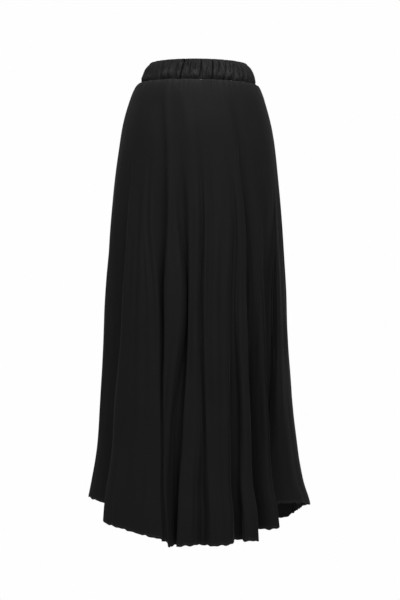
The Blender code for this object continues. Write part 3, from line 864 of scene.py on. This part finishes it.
def band_depth(u, turn, share, inner):
    """How far the gathers sink in at a place along the band."""
    groove = grooves_at(u, share)
    if inner:
        return GROOVE_INSIDE * groove
    pocket = POCKET * pocket_at(turn) * math.exp(-(share / POCKET_SHARE) ** 2)
    across = turn * WRINKLES_PER_DEGREE
    wrinkle = noise.noise(Vector((across, share * WRINKLES_UP, WRINKLE_SEED)))
    fine = noise.noise(Vector((across * FINE_ACROSS, share * FINE_UP, FINE_SEED)))
    lines = math.exp(-(wrinkle / WRINKLE_EDGE) ** 2) + FINE_LINE * math.exp(-(fine / WRINKLE_EDGE) ** 2)
    return groove + pocket - puffs_at(turn, share) + WRINKLE * (lines + FINE_SWELL * fine)


def band_surface(u, share, turn_from, inward, rise=0.0, inner=False):
    """A point of the band at place u among its grooves and a share of its height."""
    seam = round_table(GROOVES, u, "turn_seam", 180)
    top = round_table(GROOVES, u, "turn_top", 180)
    turn = seam + share * (top - seam) + turn_from + 90
    centre, half_width, half_depth = along_table(BAND_SECTIONS, share)
    angle = math.radians(turn)
    x, y = inside_outline(half_width * math.sin(angle), -half_depth * math.cos(angle),
                          band_depth(u, turn, share, inner) + inward)
    low, high = seam_height(turn), band_top_height(turn) - BAND_WALL / 2
    return centre + x, y, low + share * (high - low) + rise


print("the band stands", round((BAND_TOP_HEIGHT - SEAM_HEIGHT) / MM, 1), "mm high at the sides")

# %% [markdown]
# Each half of the band is a tube with that cross section, closed at the two side seams. It is a grid whose
# last row is joined to its first.

# %% The two halves of the band
COLUMNS_PER_PUFF = 12
OUTER_ROWS, ROLL_ROWS, INNER_ROWS = 24, 6, 12
BAND_ROW = 2 * MM


def band_grid(turn_from):
    count = len(GROOVES) * COLUMNS_PER_PUFF
    columns = [i / COLUMNS_PER_PUFF for i in range(count + 1)]
    rows = [[band_surface(u, i / OUTER_ROWS, turn_from, 0) for u in columns]
            for i in range(OUTER_ROWS, -1, -1)]
    rows += [[band_surface(u, i / INNER_ROWS, turn_from, BAND_WALL, inner=True) for u in columns]
             for i in range(INNER_ROWS + 1)]
    for i in range(1, ROLL_ROWS):
        angle = math.pi * i / ROLL_ROWS
        inward, rise = BAND_WALL / 2 * (1 + math.cos(angle)), BAND_WALL / 2 * math.sin(angle)
        rows.append([band_surface(u, 1, turn_from, inward, rise) for u in columns])
    return np.array(rows)


def band_half(name, turn_from):
    grid = band_grid(turn_from)
    rows, columns = grid.shape[:2]
    first_end = tuple(r * columns for r in range(rows))
    last_end = tuple(r * columns + columns - 1 for r in range(rows))[::-1]
    faces = grid_faces(rows, columns, around=True) + [first_end, last_end]
    along = np.linspace(0, BAND_CUT[0], columns)
    flat = np.stack(np.meshgrid(along, -np.arange(rows) * BAND_ROW), axis=2)
    return finish_smooth(mesh_of(name, grid.reshape(-1, 3), faces, flat.reshape(-1, 2)), TUBE_ANGLE)


front_band = band_half("front_casing", -90)
back_band = band_half("back_casing", 90)
print("waistband:", len(front_band.data.polygons) + len(back_band.data.polygons), "faces")

# %% [markdown]
# ## The stitches
# A row of thread holds the hem, over four millimetres above the edge. Seen close, each stitch is a short bar
# of thread that sinks into the cloth at both ends. Bump could draw them, but only bars catch the light from
# every side. One small bar is laid for every stitch along the path, all in one mesh, with few faces because
# there are so many. Each row of STITCH_STATIONS is a cross section of the bar: its place along the stitch,
# its size and how far it is lifted.

# %% Helper that sews a row of stitches
STITCH_PITCH, STITCH_LENGTH, STITCH_RADIUS = 3.0 * MM, 2.3 * MM, 0.22 * MM
STITCH_SIDES = 5
STITCH_STATIONS = ((-0.5, 0.25, -0.25), (-0.3, 0.9, 0.1), (0.3, 0.9, 0.1), (0.5, 0.25, -0.25))


def sew(name, path, outward):
    """Stitches along a path of points, lying on the cloth that faces outward there."""
    steps = np.linalg.norm(np.diff(path, axis=0), axis=1)
    lengths = np.concatenate([[0], np.cumsum(steps)])
    points, faces = [], []
    for i in range(int(lengths[-1] / STITCH_PITCH)):
        middle = (i + 0.5) * STITCH_PITCH
        here, before, after = (np.array([np.interp(middle + s, lengths, path[:, axis]) for axis in range(3)])
                               for s in (0, -STITCH_LENGTH / 2, STITCH_LENGTH / 2))
        up = np.array([np.interp(middle, lengths, outward[:, axis]) for axis in range(3)])
        along = (after - before) / np.linalg.norm(after - before)
        up = up - along * up.dot(along)
        up /= np.linalg.norm(up)
        side = np.cross(along, up)
        base = len(points)
        for place, size, lift in STITCH_STATIONS:
            for k in range(STITCH_SIDES):
                angle = 2 * math.pi * k / STITCH_SIDES
                across = up * (lift + size * math.cos(angle)) + side * size * math.sin(angle)
                points.append(here + along * place * STITCH_LENGTH + across * STITCH_RADIUS)
        for s in range(len(STITCH_STATIONS) - 1):
            for k in range(STITCH_SIDES):
                a, b = base + s * STITCH_SIDES + k, base + s * STITCH_SIDES + (k + 1) % STITCH_SIDES
                faces.append((a, b, b + STITCH_SIDES, a + STITCH_SIDES))
        last = base + (len(STITCH_STATIONS) - 1) * STITCH_SIDES
        faces.append(tuple(base + k for k in range(STITCH_SIDES))[::-1])
        faces.append(tuple(last + k for k in range(STITCH_SIDES)))
    return finish_smooth(mesh_of(name, points, faces), TUBE_ANGLE)


hem_row = drops.index(HEM_DROP) + 1
front_stitches = sew("front_hem_stitches", front_grid[hem_row], facing(front_grid)[hem_row])
back_stitches = sew("back_hem_stitches", back_grid[hem_row], facing(back_grid)[hem_row])
print("stitch faces:", len(front_stitches.data.polygons) + len(back_stitches.data.polygons))

# %% [markdown]
# ## Black crepe
# Crepe is woven from hard-twisted yarn, so it is matt, a little pebbled, and never quite black where it
# turns to the light. The material gives a plain weave laid on the bias, a fine pebble over it, and a slow
# change of tone. All three read the UV map in metres, so they keep their size and follow the cut cloth. A
# picture of the weave would blur close by, and these nodes never do. Where a piece carries the edge
# attribute, the base colour is lightened too, a painted highlight along the waist seam's welt and the hem.

# %% Helpers for node materials
def new_material(name, roughness, specular, sheen, sheen_roughness):
    material = bpy.data.materials.new(name)
    material.use_nodes = True
    shader = material.node_tree.nodes["Principled BSDF"]
    shader.inputs["Roughness"].default_value = roughness
    shader.inputs["Specular IOR Level"].default_value = specular
    shader.inputs["Sheen Weight"].default_value = sheen
    shader.inputs["Sheen Roughness"].default_value = sheen_roughness
    return material, shader


def add_node(material, kind, inputs=None, **settings):
    node = material.node_tree.nodes.new(kind)
    for name, value in settings.items():
        setattr(node, name, value)
    for key, value in (inputs or {}).items():
        if isinstance(value, bpy.types.NodeSocket):
            material.node_tree.links.new(value, node.inputs[key])
        else:
            node.inputs[key].default_value = value
    return node


print("node helpers are ready")

# %% Crepe
YARN = 0.55 * MM
PEBBLES, SLOW_TONES = 700.0, 14.0
# The random change of tone, and how many times lighter the painted highlight at the seam and hem makes the
# cloth.
TONE_CHANGE, HIGHLIGHT_TONE = 0.14, 3.0
CREPE_BUMP = 0.12 * MM


def crepe(name, tone, roughness, specular, sheen, pebble):
    material, shader = new_material(name, roughness, specular, sheen, 0.45)
    place = add_node(material, "ShaderNodeUVMap", uv_map="cloth").outputs["UV"]
    bias = add_node(material, "ShaderNodeMapping",
                    {"Vector": place, "Rotation": (0, 0, math.radians(45)), "Scale": (1 / YARN, 1 / YARN, 1)})
    threads = add_node(material, "ShaderNodeSeparateXYZ", {0: bias.outputs["Vector"]})
    waves = []
    for axis in "XY":
        turn = add_node(material, "ShaderNodeMath", {0: threads.outputs[axis], 1: 2 * math.pi},
                        operation="MULTIPLY")
        waves.append(add_node(material, "ShaderNodeMath", {0: turn.outputs[0]}, operation="SINE").outputs[0])
    weave = add_node(material, "ShaderNodeMath", {0: waves[0], 1: waves[1]}, operation="MULTIPLY")
    pebbles = add_node(material, "ShaderNodeTexNoise",
                       {"Vector": place, "Scale": PEBBLES, "Detail": 3.0, "Roughness": 0.6})
    height = add_node(material, "ShaderNodeMath",
                      {0: pebbles.outputs["Fac"], 1: pebble, 2: weave.outputs[0]}, operation="MULTIPLY_ADD")
    bump = add_node(material, "ShaderNodeBump",
                    {"Strength": 0.35, "Distance": CREPE_BUMP, "Height": height.outputs[0]})
    material.node_tree.links.new(bump.outputs["Normal"], shader.inputs["Normal"])
    slow = add_node(material, "ShaderNodeTexNoise",
                    {"Vector": place, "Scale": SLOW_TONES, "Detail": 4.0, "Roughness": 0.55})
    dark, light = ([value * (1 + change) for value in tone] for change in (-TONE_CHANGE, TONE_CHANGE))
    blend = add_node(material, "ShaderNodeMix", {"Factor": slow.outputs["Fac"]}, data_type="RGBA")
    blend.inputs["A"].default_value = (*dark, 1)
    blend.inputs["B"].default_value = (*light, 1)
    # Painted highlight: where the edge attribute is high, the base colour is mixed towards a much lighter
    # tone, standing in for light caught by the seam welt and the hem.
    edge = add_node(material, "ShaderNodeAttribute", attribute_name="edge")
    painted_highlight = add_node(material, "ShaderNodeMix", {"Factor": edge.outputs["Fac"]}, data_type="RGBA")
    painted_highlight.inputs["B"].default_value = (*(value * HIGHLIGHT_TONE for value in tone), 1)
    material.node_tree.links.new(blend.outputs["Result"], painted_highlight.inputs["A"])
    material.node_tree.links.new(painted_highlight.outputs["Result"], shader.inputs["Base Color"])
    return material


skirt_crepe = crepe("black_crepe", (0.0068, 0.0068, 0.0070), 0.68, 0.13, 0.03, 1.6)
# Painted shade: the band's base colour is a little darker than the skirt's, toning down the light its
# upward-leaning gathers catch. Its lower roughness and stronger sheen are its own.
band_crepe = crepe("black_gathered_crepe", (0.0062, 0.0062, 0.0064), 0.48, 0.19, 0.03, 1.2)
for piece in (front_panel, back_panel, front_hem, back_hem, left_allowance, right_allowance):
    piece.data.materials.append(skirt_crepe)
for piece in (front_band, back_band):
    piece.data.materials.append(band_crepe)
print("materials:", skirt_crepe.name, band_crepe.name)

# %% [markdown]
# ## Thread
# Sewing thread is two or three strands twisted together, slightly shinier than the cloth. A slanting wave on
# the object's own coordinates gives each stitch its twist.

# %% Thread
thread, thread_shader = new_material("black_thread", 0.5, 0.4, 0.05, 0.4)
where = add_node(thread, "ShaderNodeTexCoord").outputs["Object"]
twist = add_node(thread, "ShaderNodeTexWave", {"Vector": where, "Scale": 600.0, "Distortion": 1.0},
                 bands_direction="DIAGONAL")
thread_tone = add_node(thread, "ShaderNodeMix", {"Factor": twist.outputs["Fac"]}, data_type="RGBA")
thread_tone.inputs["A"].default_value = (0.010, 0.010, 0.010, 1)
thread_tone.inputs["B"].default_value = (0.022, 0.022, 0.022, 1)
thread.node_tree.links.new(thread_tone.outputs["Result"], thread_shader.inputs["Base Color"])
twist_bump = add_node(thread, "ShaderNodeBump",
                      {"Strength": 0.4, "Distance": 0.05 * MM, "Height": twist.outputs["Fac"]})
thread.node_tree.links.new(twist_bump.outputs["Normal"], thread_shader.inputs["Normal"])
for piece in (front_stitches, back_stitches):
    piece.data.materials.append(thread)
print("material:", thread.name)

# %% [markdown]
# ## Floor and light
# The skirt hangs over a plain pale floor in front of a white background, lit by large soft lamps. Black
# cloth shows its folds by how much sky each spot can see, so most of the light is broad and comes from the
# front and above, and the valleys go dark by themselves.

# %% The floor
FLOOR_HEIGHT = -2.0
bpy.ops.object.select_all(action="DESELECT")
bpy.ops.mesh.primitive_circle_add(vertices=96, radius=4, fill_type="NGON", location=(0, 0, FLOOR_HEIGHT))
floor = bpy.context.object
floor.name = "floor"
bpy.ops.object.transform_apply(location=True, rotation=False, scale=False)
pale, pale_shader = new_material("pale_floor", 0.8, 0.2, 0.0, 0.5)
spot = add_node(pale, "ShaderNodeTexCoord").outputs["Object"]
grain = add_node(pale, "ShaderNodeTexNoise", {"Vector": spot, "Scale": 60.0, "Detail": 3.0})
pale_tone = add_node(pale, "ShaderNodeMix", {"Factor": grain.outputs["Fac"]}, data_type="RGBA")
pale_tone.inputs["A"].default_value = (0.78, 0.78, 0.77, 1)
pale_tone.inputs["B"].default_value = (0.82, 0.82, 0.81, 1)
pale.node_tree.links.new(pale_tone.outputs["Result"], pale_shader.inputs["Base Color"])
floor.data.materials.append(pale)
print("floor at z =", FLOOR_HEIGHT)

# %% The lights
def soft_lamp(name, place, aim, size, power):
    bpy.ops.object.light_add(type="AREA", location=place)
    lamp = bpy.context.object
    lamp.name = name
    lamp.data.size = size
    lamp.data.energy = power
    lamp.rotation_euler = (Vector(aim) - Vector(place)).to_track_quat("-Z", "Y").to_euler()
    return lamp


LAMP_AIM = (0, 0, -0.35)
LAMPS = (
    # name, place, size in metres, power in watts
    ("top_lamp", (0, -0.5, 1.3), 1.2, 24),
    ("left_lamp", (-2.6, -1.0, -0.7), 1.4, 5),
    ("low_left_lamp", (-1.5, -2.8, -0.8), 1.6, 9.5),
    ("low_right_lamp", (1.5, -2.8, -0.8), 1.6, 6.5),
    ("near_lamp", (0.7, -1.6, 0.9), 0.8, 13),
    ("back_lamp", (0, 3.0, 1.0), 1.0, 30),
)
for name, place, size, power in LAMPS:
    soft_lamp(name, place, LAMP_AIM, size, power)
print("lamps:", [lamp[0] for lamp in LAMPS])

# %% [markdown]
# The background is a white that only the camera sees. The cloth is lit by a much dimmer sky, because a white
# room all round would wash its folds out.

# %% The background
BACKGROUND, SKYLIGHT = 0.99, 0.25
world = bpy.data.worlds.new("studio")
world.use_nodes = True
scene.world = world
shown = world.node_tree.nodes["Background"]
shown.inputs["Color"].default_value = (1, 1, 1, 1)
shown.inputs["Strength"].default_value = BACKGROUND
lit = world.node_tree.nodes.new("ShaderNodeBackground")
lit.inputs["Color"].default_value = (1, 1, 1, 1)
lit.inputs["Strength"].default_value = SKYLIGHT
path = world.node_tree.nodes.new("ShaderNodeLightPath")
either = world.node_tree.nodes.new("ShaderNodeMixShader")
world.node_tree.links.new(path.outputs["Is Camera Ray"], either.inputs["Fac"])
world.node_tree.links.new(lit.outputs["Background"], either.inputs[1])
world.node_tree.links.new(shown.outputs["Background"], either.inputs[2])
world.node_tree.links.new(either.outputs["Shader"], world.node_tree.nodes["World Output"].inputs["Surface"])
scene.view_settings.view_transform = "Standard"
print("background", BACKGROUND, "skylight", SKYLIGHT)

# %% [markdown]
# ## Putting the pieces in place of the solids
# Every piece rides on the skirt's one body. The two panels and the two halves of the band stand for the
# solids of the same parts, which are hidden.

# %% Attach and replace
pieces = {
    front_panel: "black_crepe", back_panel: "black_crepe", front_hem: "black_crepe", back_hem: "black_crepe",
    left_allowance: "black_crepe", right_allowance: "black_crepe", front_band: "black_gathered_crepe",
    back_band: "black_gathered_crepe", front_stitches: "black_crepe", back_stitches: "black_crepe",
}
for piece, cloth in pieces.items():
    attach(piece, "root")
for piece, node in ((front_panel, "skirt_front"), (back_panel, "skirt_back"),
                    (front_band, "waistband_front"), (back_band, "waistband_back")):
    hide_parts(node)
